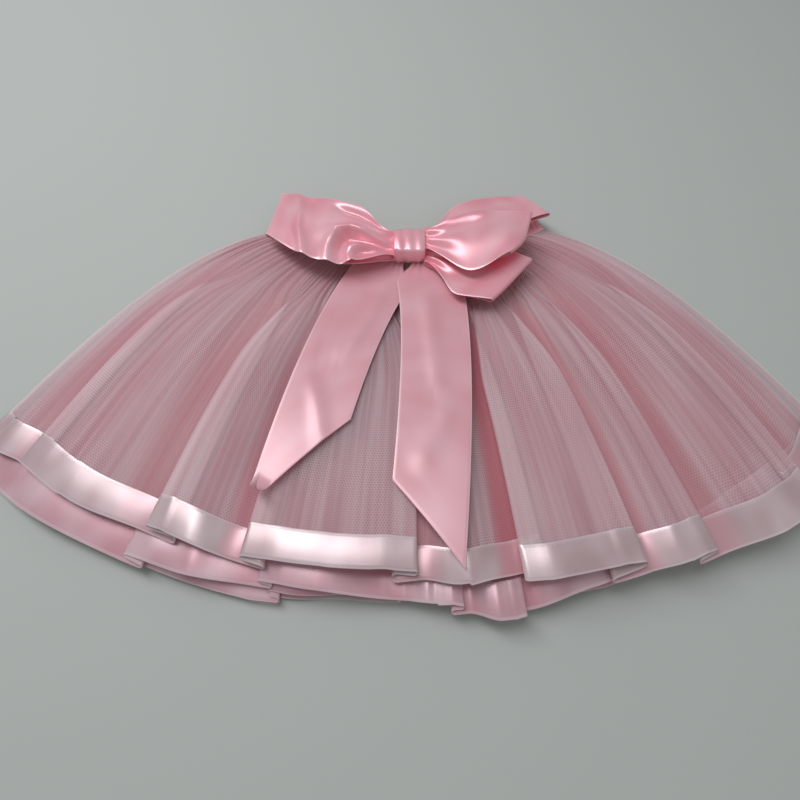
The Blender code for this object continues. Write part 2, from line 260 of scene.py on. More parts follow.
OUTER_FRONT_FOLDS = [
    Fold(0.0425, 0.78, -0.008, 0.009, 0.007, 0.35),
    Fold(0.0980, 0.90, -0.016, -0.002, 0.007, 0.40),
    Fold(0.0610, 1.00, -0.012, -0.008, -0.002, 0.60),
    Fold(0.1060, 0.94, 0.012, -0.003, -0.017, 0.45),
    Fold(0.0620, 0.80, -0.012, 0.008, -0.010, 0.85),
    Fold(0.0720, 1.00, 0.018, -0.001, 0.010, 0.55),
    Fold(0.0430, 0.94, 0.009, 0.016, 0.016, 0.55),
    Fold(0.0760, 0.96, 0.010, 0.024, 0.029, 0.35),
    Fold(0.0475, 0.80, 0.000, 0.006, 0.006, 0.00),
]
INNER_FRONT_FOLDS = [
    Fold(0.1080, 0.86, -0.010, 0.018, 0.012, 0.40),
    Fold(0.0767, 1.00, -0.006, 0.009, 0.003, 0.40),
    Fold(0.0796, 0.92, 0.000, -0.003, -0.004, 0.40),
    Fold(0.0340, 0.88, 0.005, 0.001, 0.001, 0.40),
    Fold(0.0327, 1.00, 0.007, 0.013, 0.013, 0.40),
    Fold(0.0580, 0.94, 0.006, 0.006, 0.002, 0.40),
    Fold(0.0740, 0.90, 0.007, 0.010, 0.006, 0.40),
    Fold(0.0770, 0.82, 0.000, 0.006, 0.006, 0.00),
]
INNER_BACK_FOLDS = [
    Fold(0.086, 0.80, 0.003, 0.010, 0.010, 0.40),
    Fold(0.108, 1.00, 0.005, 0.012, 0.008, 0.40),
    Fold(0.074, 0.90, 0.000, -0.003, -0.003, 0.40),
    Fold(0.090, 1.00, -0.005, -0.004, -0.004, 0.40),
    Fold(0.098, 0.90, -0.003, 0.008, 0.008, 0.40),
    Fold(0.076, 0.80, 0.000, 0.000, 0.000, 0.00),
]
OUTER_BACK_FOLDS = [
    Fold(0.052, 0.80, 0.003, 0.003, 0.003, 0.40),
    Fold(0.078, 1.00, 0.005, 0.009, 0.009, 0.40),
    Fold(0.088, 0.90, 0.004, 0.010, 0.010, 0.40),
    Fold(0.070, 1.00, 0.001, 0.000, 0.000, 0.40),
    Fold(0.082, 0.95, -0.005, -0.002, -0.002, 0.40),
    Fold(0.074, 1.00, -0.004, 0.006, 0.006, 0.40),
    Fold(0.086, 0.90, -0.003, 0.001, 0.001, 0.40),
    Fold(0.058, 0.80, 0.000, -0.002, -0.002, 0.00),
]

Panel = namedtuple("Panel", "side half length reach folds up gathered full")
# outer or inner, back or front, the length, the share of the fan that it covers, the folds, whether
# their broad sides face up, and the height that it takes at the waist and in full

PANELS = [
    Panel("outer", "back", 0.251, 1.00, OUTER_BACK_FOLDS, False, 0.0026, 0.0062),
    Panel("inner", "back", 0.250, 0.95, INNER_BACK_FOLDS, False, 0.0026, 0.0058),
    Panel("inner", "front", 0.252, 0.95, INNER_FRONT_FOLDS, True, 0.0026, 0.0085),
    Panel("outer", "front", 0.245, 1.00, OUTER_FRONT_FOLDS, True, 0.0026, 0.0138),
]
SIDE_FALL, SIDE_ROUND = 3.2, 0.7  # how late and how roundly the panels thin out to the sides
REACH_FADE = 0.03  # how soon a narrower panel ends past its reach


def thickness(panel, across, run):
    """The height that a panel takes there. It is least at the waist and along the sides."""
    least = CLOTH_WALL + 2 * CLEARANCE
    swell = 1 - (1 - min(run / LINE_LENGTH, 1)) ** 2
    lens = max(1 - abs(across) ** SIDE_FALL, 0.0) ** SIDE_ROUND
    height = least + (panel.gathered - least) * min(lens * 2, 1)
    height += (panel.full - panel.gathered) * swell * lens
    if panel.reach < 1:
        height *= 1 - ease(panel.reach, panel.reach + REACH_FADE, abs(across))
    return height


def top_of(index, across, run):
    """The height of the top of this many of the lowest panels."""
    return sum(thickness(panel, across, run) for panel in PANELS[:index])


def room_for_folds(panel, across, run):
    """How much of the height that a panel takes is left for the folds of its thin net."""
    return max(thickness(panel, across, run) - 2 * NET_CLEARANCE, 0.0)


# %% [markdown]
# ## One fold
# A fold of net rises from a valley to a broad flat top. Where it lies over its neighbour, its edge
# is turned under: seen from the side the cloth runs out, turns back below itself, and turns out
# again, like a Z. There three layers lie on each other, and the net looks lighter and closer.

# %% Sides of a fold
GATHERS_END = 0.34  # how far down the skirt the gathers reach, as a share
FOLDS_START, FOLDS_FULL = 0.03, 0.50  # where down the skirt the folds start to grow, and have
GATHERS_PER_FOLD = 9
GATHER_SWAY = 0.35  # how uneven the gathers are
FRONT_PRESSED = 0.70  # how high the front's gathers stand, as a share of the back's
TUCK_FROM, TUCK_FULL = 0.0010, 0.0036  # how high a fold is when its edge starts to turn, and has
TUCK_CLEAR = 0.0022  # how far past the edge over it the cloth below starts to rise
LOWER_TURN, WAY_BACK, UPPER_TURN = 0.24, 0.38, 0.62  # the parts of a side that is turned under
EDGE_FALL = 0.16  # how much lower than its middle a fold is at its edge, as a share
RIDGE, RIDGE_PLACE, RIDGE_SPREAD = 0.07, 0.34, 0.12  # a soft ridge beside a fold's edge
MIDDLE_SHIFT = 0.10  # how much nearer a fold's middle is to the side that lies over its neighbour


def fold_edges(panel):
    """Where the folds of a panel meet along its hem, and how far the cloth is tucked there."""
    places, tucks = [0.0], [0.0]
    for fold in panel.folds:
        places.append(places[-1] + fold.width)
        tucks.append(fold.tuck)
    return places, tucks


def plain_side(valley, cover, middle, way):
    """A side that rises from its valley, way 0, once it is clear of what covers it."""
    start = (cover - valley) / (middle - valley)
    return valley + (middle - valley) * way, ease(start, 1, way)


def tucked_side(valley, edge, middle, radius, way):
    """A side that is turned under: the lower turn, back below its edge, round and up."""
    out = 1 if edge > middle else -1
    brow = edge - out * radius
    if way < LOWER_TURN:
        angle = math.pi * way / LOWER_TURN
        return valley - out * radius * math.sin(angle), 0.25 - 0.25 * math.cos(angle)
    if way < WAY_BACK:
        return valley + (brow - valley) * (way - LOWER_TURN) / (WAY_BACK - LOWER_TURN), 0.5
    if way < UPPER_TURN:
        angle = math.pi * (way - WAY_BACK) / (UPPER_TURN - WAY_BACK)
        rise = (0.25 - EDGE_FALL / 2) * (1 - math.cos(angle))
        return brow + out * radius * math.sin(angle), 0.5 + rise
    top = (way - UPPER_TURN) / (1 - UPPER_TURN)
    ridge = RIDGE * math.exp(-((top - RIDGE_PLACE) / RIDGE_SPREAD) ** 2)
    return brow + (middle - brow) * top, 1.0 - EDGE_FALL * (1 - top) ** 3 + ridge


# %% [markdown]
# The net is gathered by a running thread at the waist, so its top is a row of tiny pleats of uneven
# size. They open out down the skirt and leave fine ridges that run a long way. Noise with a long
# grain gives them: it changes fast along the hem and slowly down the skirt.

# %% A point of a panel
RIPPLES = 46  # fine ridges across a panel
RIPPLE_HEIGHT = 0.0010
RIPPLE_FADE = 0.85  # how much of them is gone at the hem, as a share
WAVE_DEPTH = 0.34  # how much of a fold's height its waves take at the hem
KINK_SOFT = 0.14  # rounds the lines along which the ribbon bends most
# the painted valley shade fades out this high up a fold
VALLEY_TOP = 0.45  # how high up a fold its valley reaches, as a share


def ripple(panel_number, along, share):
    """The height of the fine ridges that the gathering leaves in the net."""
    spot = Vector((along * RIPPLES / 9, share * 1.4, panel_number * 7.3))
    fine = noise.noise(spot * 1.9) + 0.6 * noise.noise(spot * 4.1)
    return RIPPLE_HEIGHT * (fine - 0.5) * (1 - RIPPLE_FADE * ease(0.1, 0.8, share))


def hem_wave(panel_number, along, share):
    """How much lower the cloth lies between the waves of the stiff ribbon, as a share."""
    slow = noise.noise(Vector((along * 2.7, share, panel_number * 5.1 + 20)))
    kink = noise.noise(Vector((along * 3.9, share * 1.5, panel_number * 2.7 + 60)))
    kink = math.hypot(kink, KINK_SOFT) - KINK_SOFT
    return WAVE_DEPTH * (0.7 - 0.5 * slow + 1.1 * kink) * ease(0.45, 0.92, share)


def fold_point(panel, index, along, share):
    """A point of a panel's cloth: along counts its folds from the -X side, share is down it.

    Its fourth number is the painted shade, a deeper pink, that it gets in a valley between two
    folds, from 0 to 1.
    """
    folds = panel.folds
    number = min(max(int(along), 0), len(folds) - 1)
    fold = folds[number]
    places, tucks = fold_edges(panel)
    total = places[-1]
    grown = ease(FOLDS_START, FOLDS_FULL, share)
    on_left = along - number < 0.5
    side = number if on_left else number + 1
    way = (along - number) * 2 if on_left else (number + 1 - along) * 2

    def across_of(place):
        return panel.reach * (2 * place / total - 1)

    own = fold.drop + (fold.end - fold.drop) * (along - number)
    free = room_for_folds(panel, across_of(places[side]), share * (panel.length + own))
    curl = grown * ease(TUCK_FROM, TUCK_FULL, free * fold.height * grown)
    valley = places[side] - tucks[side] * curl
    lean = tucks[number] + tucks[number + 1]
    shift = math.copysign(MIDDLE_SHIFT, lean) if lean else 0.0
    middle = places[number] + fold.width * (0.5 + shift * grown)
    covered = tucks[side] > 0 if on_left else tucks[side] < 0
    cover = places[side] + (TUCK_CLEAR if on_left else -TUCK_CLEAR) * curl if covered else valley
    place, lift = plain_side(valley, cover, middle, way)
    if tucks[side] and not covered:
        radius = free * fold.height / 4
        under, under_lift = tucked_side(valley, places[side], middle, radius, way)
        place += (under - place) * curl
        lift += (under_lift - lift) * curl

    merged = ease(0, GATHERS_END, share)
    sway = GATHER_SWAY * noise.noise(Vector((along * 2.7, index * 4.1, 11))) * min(way, 1)
    small = (1 - math.cos(2 * math.pi * GATHERS_PER_FOLD * (along - number + sway / 3))) / 2
    small *= FRONT_PRESSED if panel.up else 1
    lift = (1 - merged) * small + merged * lift * fold.height
    beside = folds[min(max(number + (-1 if on_left else 1), 0), len(folds) - 1)]
    shared = (own + (beside.end if on_left else beside.drop)) / 2
    drop = shared + (own - shared) * lift
    across, run = across_of(place), share * (panel.length + drop)
    # painted shade: a deeper pink low in the valley beside a fold, in place of its shade
    deep = folds[side - 1].deep if side else 0.0
    valley_shade = (1 - ease(0.05, VALLEY_TOP, lift)) * merged * deep
    if not panel.up:
        lift = 1 - lift
    low = top_of(index, across, run) + NET_CLEARANCE
    free = room_for_folds(panel, across, run)
    risen = free * lift * (1 - hem_wave(index, along, share)) + ripple(index, along, share)
    height = low + min(max(risen, 0), free)
    if index == 0:
        height = max(height - FLOOR_PRESS, NET_CLEARANCE)
    return Vector((*fan_point(across, run), height, valley_shade))


# %% [markdown]
# ## From a formula to cloth
# Every sheet here starts as Blender's own flat grid, whose points are then put where the cloth is.
# The grid keeps its rows and columns, so the same numbers give the cloth its UV map in real metres,
# measured along the cloth. The net's holes and the satin's threads then keep their true size.

# %% Grid of cloth
def measured(lengths):
    """Running totals, from nought."""
    totals = [0.0]
    for length in lengths:
        totals.append(totals[-1] + length)
    return totals


def edge_to_edge(count):
    """Even steps from -1 to 1."""
    return [2 * step / count - 1 for step in range(count + 1)]


def cloth(name, place, columns, rows, material, even_row=-1, wall=None, ribbon=None):
    """A sheet with a point for each column and row, put there by place, from the waist's middle.

    Its UV map is in metres: across it, as measured along the row even_row, and down it. For a
    ribbon it is along the ribbon and over its true width, whether that goes by "rows" or by
    "columns". A fourth number of a point is kept in the attribute "valley" as painted shade.
    """
    across, down = len(columns) - 1, len(rows) - 1
    bm = bmesh.new()
    valley_shades = bm.verts.layers.float.new("valley")
    grid = bmesh.ops.create_grid(bm, x_segments=across, y_segments=down, size=0.5)
    spots, points = {}, {}
    for vertex in grid["verts"]:
        spot = (round((vertex.co.x + 0.5) * across), round((vertex.co.y + 0.5) * down))
        point = place(columns[spot[0]], rows[spot[1]])
        points[spot] = point.to_3d()
        vertex.co = points[spot] + Vector((*WAIST_MIDDLE, 0))
        vertex[valley_shades] = point[3] if len(point) == 4 else 0.0
        spots[vertex] = spot
    row = range(down + 1)[even_row]
    wide = measured((points[n + 1, row] - points[n, row]).length for n in range(across))
    middle = across // 2
    long = measured((points[middle, n + 1] - points[middle, n]).length for n in range(down))
    uv = bm.loops.layers.uv.new("cloth")
    for face in bm.faces:
        face.smooth = True
        for corner in face.loops:
            column, row = spots[corner.vert]
            if ribbon == "rows":
                corner[uv].uv = (wide[column], row / down * RIBBON_WIDTH)
            elif ribbon == "columns":
                corner[uv].uv = (long[row], column / across * RIBBON_WIDTH)
            else:
                corner[uv].uv = (wide[column], long[row])
    if sum(face.normal.z for face in bm.faces) < 0:
        bmesh.ops.reverse_faces(bm, faces=bm.faces)
    piece = new_object(name, bm, material)
    if wall:
        solidify = piece.modifiers.new("wall", "SOLIDIFY")
        solidify.thickness = wall
        solidify.offset = 0
        piece.modifiers.new("flat up to its edges", "WEIGHTED_NORMAL")
    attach(piece, "root")
    print(f"{name}: {wide[-1]:.3f} m wide, {long[-1]:.3f} m long, {across * down} faces")
    return piece, wide[-1], long[-1]


# %% [markdown]
# ## The net
# Tulle is a knitted net of six-sided holes, about 2 mm from one to the next. Modelling its threads
# would take millions of faces. Instead the material says where there is thread and where there is
# air. Two sets of box-shaped cells, one moved half a cell, have their middles on the net's holes,
# and the nearer middle of the two tells how close a point is to a thread.

# %% Net material
NET_PITCH = 0.0019
THREAD = 0.115  # a thread's half width, as a share of the pitch
THREADS_COVER = 0.45  # the share of the net that is thread
# painted shade: in a valley the net is made to hide more, as well as turn a deeper pink
VALLEY_CLOSER = 0.25  # how much more the net hides in a valley
HEX_HEIGHT = math.sqrt(3)
# how often the net's streaks, its clouds of colour and the places where its threads blur change in
# a metre, across the cloth and down it
NET_STREAKS, NET_CLOUDS, NET_BLURS = (210, 6), (26, 9), (17, 13)


def thread_pattern(tree, cloth_uv):
    """1 on the threads of a net of six-sided holes, 0 in the middle of its holes."""
    def vector(operation, first, second=(0, 0, 0), third=(0, 0, 0)):
        node = add_node(tree, "VectorMath", {0: first, 1: second, 2: third}, operation=operation)
        return node.outputs["Value" if operation == "DOT_PRODUCT" else "Vector"]

    place = vector("MULTIPLY", cloth_uv, (1 / NET_PITCH, 1 / NET_PITCH, 0))
    half = (0.5, HEX_HEIGHT / 2, 1)
    reaches = []
    for shift in ((0, 0, 0), half):
        cell = vector("WRAP", vector("ADD", place, shift), half, tuple(-v for v in half))
        corner = vector("ABSOLUTE", cell)
        slanted = vector("DOT_PRODUCT", corner, (0.5, HEX_HEIGHT / 2, 0))
        straight = vector("DOT_PRODUCT", corner, (1, 0, 0))
        reaches.append(maths(tree, "MAXIMUM", slanted, straight))
    nearest = maths(tree, "MINIMUM", *reaches)
    return remap(tree, nearest, 0.5 - THREAD * 1.5, 0.5 - THREAD * 0.5)


def grain(tree, cloth_uv, across, along, detail=2.0):
    """Noise that is drawn out down the cloth."""
    stretched = add_node(tree, "VectorMath", {0: cloth_uv, 1: (across, along, 1)},
                         operation="MULTIPLY").outputs["Vector"]
    inputs = {"Vector": stretched, "Scale": 1.0, "Detail": detail}
    return add_node(tree, "TexNoise", inputs).outputs["Fac"]


def net_material(name, pale, deep, valley, cover):
    """Pink net: thread and holes, streaks where it was gathered, and a dry, faint sheen.

    cover is how much of what is below it the net hides, in its holes and at its threads.
    valley is the colour of the painted shade in valleys between folds, where the net hides more.
    """
    material, tree, shader = new_material(name)
    cloth_uv = add_node(tree, "UVMap", uv_map="cloth").outputs["UV"]
    thread = thread_pattern(tree, cloth_uv)
    streak = grain(tree, cloth_uv, *NET_STREAKS)
    cloud = grain(tree, cloth_uv, *NET_CLOUDS, 1.0)
    painted_shade = add_node(tree, "Attribute", attribute_name="valley").outputs["Fac"]
    hole_cover, thread_cover = cover
    clear = remap(tree, grain(tree, cloth_uv, *NET_BLURS, 1.0), 0.40, 0.66, 0.35, 1.0)
    clear = maths(tree, "MULTIPLY", maths(tree, "SUBTRACT", thread, THREADS_COVER), clear)
    even = hole_cover + (thread_cover - hole_cover) * THREADS_COVER
    hidden = maths(tree, "MULTIPLY_ADD", clear, thread_cover - hole_cover, even)
    closer = remap(tree, streak, 0.32, 0.72, 0.90, 1.10)
    hidden = maths(tree, "MULTIPLY", hidden, closer)
    # painted shade: in a valley the net hides more and takes the deeper valley colour
    hidden = maths(tree, "MULTIPLY_ADD", painted_shade, VALLEY_CLOSER, hidden)
    tree.links.new(hidden, shader.inputs["Alpha"])
    shade = maths(tree, "MULTIPLY_ADD", cloud, 0.6, maths(tree, "MULTIPLY", streak, 0.4))
    colour = blend_colours(tree, remap(tree, shade, 0.36, 0.64), deep, pale)
    colour = blend_colours(tree, painted_shade, colour, valley)
    tree.links.new(colour, shader.inputs["Base Color"])
    shader.inputs["Roughness"].default_value = 0.62
    shader.inputs["Sheen Weight"].default_value = 0.25
    shader.inputs["Sheen Roughness"].default_value = 0.5
    shader.inputs["Specular IOR Level"].default_value = 0.25
    return material


# The outer and the inner net are one fabric. The inner net's deeper pink is painted shade, for
# light that has passed many layers of net, and the third colour of each is the painted shade of its
# valleys.
OUTER_NET = net_material("pale pink net", dye(242, 220, 224), dye(232, 192, 200),
                         dye(210, 112, 126), (0.33, 0.56))
INNER_NET = net_material("inner net painted deeper for shade", dye(222, 160, 172), dye(208, 132, 146),
                         dye(196, 88, 104), (0.52, 0.78))
print("The net has", round(1 / NET_PITCH / 100), "holes to the centimetre")


# %% [markdown]
# ## Satin
# Satin is woven so that long threads lie side by side on its face. It shines softly, and more along
# one way than the other, and fine ribs run along it. Its edges are a firm woven selvedge. The same
# recipe serves the pale hem ribbon and the deeper pink bow, with other colours.

# %% Satin material
# how often the ribs and the clouds of colour change in a metre, along the ribbon and over its width
SATIN_RIBS, SATIN_CLOUDS = (60, 2600), (34, 26)
SELVEDGE_FROM, SELVEDGE_FULL = 0.0012, 0.0007  # from the ribbon's edge
STITCH_PITCH = 0.0026
STITCH_ROW = 0.0017  # from the edge that is sewn to the net
STITCH_END = (0.00075, 0.00095)  # where a stitch fades, from its middle
STITCH_SIDE = (0.00018, 0.00032)


def satin_material(name, deep, light, shaded, width, gloss, pearl, stitched=False):
    """Satin ribbon this wide: ribs, selvedges and, on a hem, a row of stitches.

    gloss is its roughness, and pearl how much the shine takes its colour.
    shaded is the colour of painted shade, a deeper pink mixed in where the attribute "valley"
    says: low in a valley between folds, or where another ribbon shades a loop, for the pinker
    light passed between them.
    """
    material, tree, shader = new_material(name)
    cloth_uv = add_node(tree, "UVMap", uv_map="cloth").outputs["UV"]
    parts = add_node(tree, "SeparateXYZ", {"Vector": cloth_uv})
    along, down = parts.outputs["X"], parts.outputs["Y"]
    ribs = grain(tree, cloth_uv, *SATIN_RIBS, 1.0)
    cloud = grain(tree, cloth_uv, *SATIN_CLOUDS, 1.0)
    colour = blend_colours(tree, remap(tree, cloud, 0.3, 0.7), deep, light)
    painted_shade = add_node(tree, "Attribute", attribute_name="valley").outputs["Fac"]
    # painted shade: the shaded colour where the attribute says so
    colour = blend_colours(tree, painted_shade, colour, shaded)
    middle = maths(tree, "ABSOLUTE", maths(tree, "SUBTRACT", down, width / 2))
    selvedge = remap(tree, middle, width / 2 - SELVEDGE_FROM, width / 2 - SELVEDGE_FULL)
    pale = tuple((1 + value) / 2 for value in light)
    colour = blend_colours(tree, maths(tree, "MULTIPLY", selvedge, 0.35), colour, pale)
    height = maths(tree, "MULTIPLY_ADD", ribs, 0.25, maths(tree, "MULTIPLY", selvedge, 0.15))
    if stitched:
        dash = maths(tree, "WRAP", along, STITCH_PITCH / 2, -STITCH_PITCH / 2)
        dash = remap(tree, maths(tree, "ABSOLUTE", dash), *STITCH_END, 1.0, 0.0)
        row = maths(tree, "ABSOLUTE", maths(tree, "SUBTRACT", down, STITCH_ROW))
        stitch = maths(tree, "MULTIPLY", dash, remap(tree, row, *STITCH_SIDE, 1.0, 0.0))
        height = maths(tree, "ADD", height, maths(tree, "MULTIPLY", stitch, 1.4))
        colour = blend_colours(tree, maths(tree, "MULTIPLY", stitch, 0.6), colour, light)
    tree.links.new(colour, shader.inputs["Base Color"])
    shader.inputs["Roughness"].default_value = gloss
    shader.inputs["Metallic"].default_value = pearl
    shader.inputs["Specular IOR Level"].default_value = 0.9
    shader.inputs["Sheen Weight"].default_value = 0.30
    shader.inputs["Sheen Roughness"].default_value = 0.35
    shader.inputs["Anisotropic"].default_value = 0.35
    bump = add_node(tree, "Bump", {"Height": height, "Strength": 0.20, "Distance": 0.0002})
    tree.links.new(bump.outputs["Normal"], shader.inputs["Normal"])
    return material


# The two hems are one ribbon: the inner hem's pinker colours are painted shade, for the light
# passed between the layers. The third colour of each satin is its painted shade.
OUTER_HEM_SATIN = satin_material("pale hem satin", dye(198, 170, 173), dye(222, 200, 203),
                                 dye(220, 150, 163), HEM_WIDTH, 0.30, 0.22, stitched=True)
INNER_HEM_SATIN = satin_material("inner hem satin painted pinker for shade", dye(210, 158, 168), dye(228, 194, 202),
                                 dye(206, 122, 138), HEM_WIDTH, 0.30, 0.22, stitched=True)
# The loops and the tails are one ribbon. The loops' richer pink is painted light, for light passed
# between doubled ribbon, and the tails' greyer pink is a painted reflection of the grey room.
LOOP_SATIN = satin_material("loop satin", dye(246, 162, 176), dye(254, 194, 205),
                            dye(255, 130, 156), RIBBON_WIDTH, 0.30, 0.22)
TAIL_SATIN = satin_material("tail satin", dye(229, 164, 175), dye(236, 180, 191),
                            dye(230, 108, 134), RIBBON_WIDTH, 0.33, 0.08)
BAND_SATIN = satin_material("band satin", dye(232, 154, 168), dye(242, 180, 192),
                            dye(224, 112, 134), BAND_HEIGHT, 0.34, 0.06)

# %% [markdown]
# ## The four panels
# The panels are laid from the lowest up, each with its ribbon. The columns of the grid stand close
# together at the turns of each fold, where the cloth bends most, and the ribbon takes the same
# columns, so that it turns with the net that it is sewn to.

# %% Panels and hem ribbons
NET_ROWS = 44
RIBBON_ROWS = 8
RIBBON_WALL = 0.0004
SEAM_LAP = 0.0008  # how far the net reaches inside the ribbon
HEM_UNEVEN = 0.006  # how far the hem's edge strays up or down, as a share of the panel
RIBBON_CROWN = 0.0004  # how much higher the ribbon's middle is than its edges
TUCKED_STEPS, PLAIN_STEPS = (7, 4, 9, 10), (28,)  # columns on each part of a fold's side


def side_steps(tucked):
    """Where a side of a fold has columns, from its valley to just before its middle."""
    ends, counts = ((0, LOWER_TURN, WAY_BACK, UPPER_TURN, 1), TUCKED_STEPS) if tucked \
        else ((0, 1), PLAIN_STEPS)
    return [first + (last - first) * step / count
            for first, last, count in zip(ends, ends[1:], counts) for step in range(count)]


def columns_of(panel):
    tucks = fold_edges(panel)[1]
    columns = []
    for number in range(len(panel.folds)):
        left = side_steps(tucks[number] < 0)
        right = side_steps(tucks[number + 1] > 0)
        columns += [number + step / 2 for step in left] + [number + 0.5]
        columns += [number + 1 - step / 2 for step in reversed(right[1:])]
    return columns + [float(len(panel.folds))]


def make_panel(index, panel):
    """A panel of net and the ribbon on its hem."""
    columns = columns_of(panel)
    seam = 1 - HEM_WIDTH / panel.length
    net_end = seam + SEAM_LAP / panel.length
    net_cloth = OUTER_NET if panel.side == "outer" else INNER_NET
    hem_cloth = OUTER_HEM_SATIN if panel.side == "outer" else INNER_HEM_SATIN
    node = f"{panel.side}_tulle_{panel.half}"
    hem_node = f"{panel.side}_hem_{panel.half}"

    def net_place(along, share):
        return fold_point(panel, index, along, share)

    def ribbon_place(along, share):
        down = (share - seam) / (1 - seam)
        edge = noise.noise(Vector((along * 1.7, 3.0, index * 5.7)))
        point = fold_point(panel, index, along, share + edge * HEM_UNEVEN * down)
        crown = math.sin(math.pi * down) * RIBBON_CROWN
        point.z = max(point.z + crown, RIBBON_WALL)
        return point

    rows = [net_end * (step / NET_ROWS) ** 1.1 for step in range(NET_ROWS + 1)]
    net, wide, long = cloth(f"{panel.side}_{panel.half}_net", net_place, columns, rows,
                            net_cloth)
    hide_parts(node)
    hem_rows = [seam + (1 - seam) * step / RIBBON_ROWS for step in range(RIBBON_ROWS + 1)]
    ribbon, ribbon_wide, _ = cloth(f"{panel.side}_{panel.half}_ribbon", ribbon_place, columns,
                                   hem_rows, hem_cloth, even_row=0, wall=RIBBON_WALL)
    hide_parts(hem_node)


for index, panel in enumerate(PANELS):
    make_panel(index, panel)

# %% [markdown]
# ## The waistband
# An elastic is covered with a strip of satin that is longer than it, so the satin is ruched: it
# stands in small upright ridges. The front and the back of the band lie on each other.

# %% Waistband
BAND_WALL = 0.003  # of the solids
BAND_PARTING = 0.0007  # between the back and the front
BAND_COLUMNS, BAND_ROWS = 300, 10
RUCHES = 58
RUCHE_HEIGHT = 0.0007
BAND_CLOTH_WALL = 0.0016


def band_half(half, low):
    """One half of the band, whose solid starts at the height low."""
    def place(across, up):
        slope = 4 * WAIST_RISE * across / WAIST_WIDTH
        line = Vector((across * WAIST_WIDTH / 2, WAIST_RISE * across * across))
        line += Vector((-slope, 1)).normalized() * up
        crown = 1 - (2 * up / BAND_HEIGHT - 1) ** 4
        sway = 0.9 * noise.noise(Vector((across * 9, up * 90, low * 900)))
        ruche = 0.5 + 0.5 * math.sin(math.pi * RUCHES * across + 3 * sway)
        return Vector((*line, low + BAND_WALL / 2 + (ruche - 0.5) * RUCHE_HEIGHT * crown))

    columns = edge_to_edge(BAND_COLUMNS)
    rows = [BAND_GAP + (BAND_HEIGHT - BAND_GAP) * step / BAND_ROWS for step in range(BAND_ROWS + 1)]
    band, wide, long = cloth(f"{half}_band", place, columns, rows, BAND_SATIN,
                             wall=BAND_CLOTH_WALL)
    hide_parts(f"waistband_{half}")


band_half("back", 0.0)
band_half("front", BAND_WALL + BAND_PARTING)

# %% [markdown]
# ## The bow's loops
# Each loop is one length of ribbon that runs out from the knot, turns over and comes back above
# itself. At the knot it is pinched, so folds fan out of the pinch and die away. The large creases
# are listed one by one: each is a line over the ribbon with its own width and height.

# %% Creases
Crease = namedtuple("Crease", "width lift points")
# how wide it is, how high, or deep if less than nought, and its points: how far out along the
# ribbon, and how far towards +Y from the ribbon's middle


def crease_lift(creases, spot):
    """How far the creases raise or lower the ribbon at a spot of it."""
    lift = 0.0
    for crease in creases:
        spans = list(zip(crease.points, crease.points[1:]))
        nearest = (1.0, 0.0)
        for number, (first, last) in enumerate(spans):
            first, way = Vector(first), Vector(last) - Vector(first)
            along = min(max((spot - first).dot(way) / way.length_squared, 0.0), 1.0)
            distance = (spot - first - way * along).length
            nearest = min(nearest, (distance, (number + along) / len(spans)))
        distance, along = nearest
        fade = ease(0, 0.3, along) * (1 - ease(0.7, 1, along))
        lift += crease.lift * fade * math.exp(-(distance / crease.width) ** 2)
    return lift


# %% Loops
Loop = namedtuple("Loop", "name angle length root widths heights openings slant bend roll "
                          "spread belly rounding covered creases")
# the way it points from +X, its length past the knot, where it leaves the knot, the ribbon's width
# at the knot, half way and at its end as shares, the height of its middle at the same places, half
# its opening there, how much further its +Y edge reaches than its middle, how far its middle bends
# towards +Y, how far its +Y edge is raised, where it has spread out as a share, how far its -Y
# edge swells, how far its -Y corner is drawn in, and whether another loop shades it from above

LEFT_CREASES = [
    Crease(0.0028, 0.0028, [(0.096, 0.040), (0.077, 0.010), (0.069, -0.008), (0.0546, -0.024),
                            (0.040, -0.040)]),
    Crease(0.0070, -0.0024, [(0.080, 0.034), (0.062, 0.006), (0.048, -0.026)]),
    Crease(0.0030, 0.0054, [(0.026, -0.044), (0.041, -0.016), (0.041, -0.003), (0.031, 0.002),
                            (0.018, 0.001), (-0.012, -0.002)]),
    Crease(0.0030, -0.0048, [(0.022, -0.034), (0.034, -0.013), (0.032, -0.006), (0.020, -0.005),
                             (-0.010, -0.006)]),
    Crease(0.0024, 0.0044, [(0.016, -0.032), (0.027, -0.015), (0.022, -0.010), (-0.006, -0.009)]),
    Crease(0.0030, -0.0034, [(0.056, 0.018), (0.030, 0.016), (-0.004, 0.008)]),
    Crease(0.0080, 0.0020, [(0.074, 0.014), (0.060, 0.000), (0.050, -0.018)]),
]
BACK_CREASES = [
    Crease(0.0040, 0.0012, [(0.020, 0.004), (0.050, 0.006), (0.080, 0.004)]),
]
LOW_CREASES = [
    Crease(0.0040, 0.0012, [(0.004, 0.002), (0.024, 0.006), (0.046, 0.004)]),
    Crease(0.0040, -0.0010, [(0.010, -0.008), (0.030, -0.010), (0.050, -0.006)]),
]
FRONT_CREASES = [
    Crease(0.0130, 0.0044, [(0.004, -0.004), (0.040, -0.003), (0.074, 0.000)]),
    Crease(0.0030, 0.0016, [(0.006, 0.010), (0.030, 0.018), (0.050, 0.020)]),
    Crease(0.0035, -0.0016, [(0.004, 0.004), (0.024, 0.009), (0.044, 0.012)]),
]

